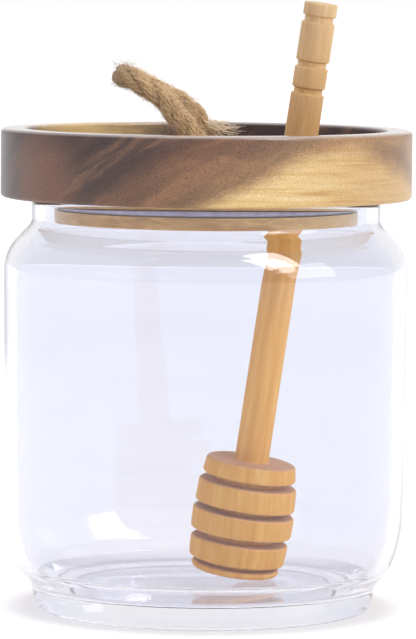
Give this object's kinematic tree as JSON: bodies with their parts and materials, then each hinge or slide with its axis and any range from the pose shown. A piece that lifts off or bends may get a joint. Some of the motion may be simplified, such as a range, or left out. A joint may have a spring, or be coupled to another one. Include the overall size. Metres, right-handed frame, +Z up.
{
  "type": "honey jar with dipper",
  "caption": "Round clear glass storage jar with a thick turned wooden plug lid, a rope pull loop, and a grooved wooden dipper that stands through the lid.",
  "frame": {"origin": "on the jar's axis, at the plane of the foot ring it stands on", "axes": "+Z up along the jar's axis; +X to the right and +Y away from the viewer in the picture; the dipper leans to +X and the rope loop to -X"},
  "size_m": [0.1016, 0.1016, 0.1507],
  "materials": {
    "glass": "clear polished glass",
    "lid_wood": "oiled acacia, satin",
    "silicone": "translucent grey silicone, satin",
    "jute": "twisted fuzzy jute rope",
    "dipper_wood": "raw turned beech, matt"
  },
  "bodies": {
    "root": {"jar": "glass", "lid": "lid_wood", "seal_ring": "silicone", "rope_loop": "jute", "dipper": "dipper_wood"}
  },
  "joints": []
}
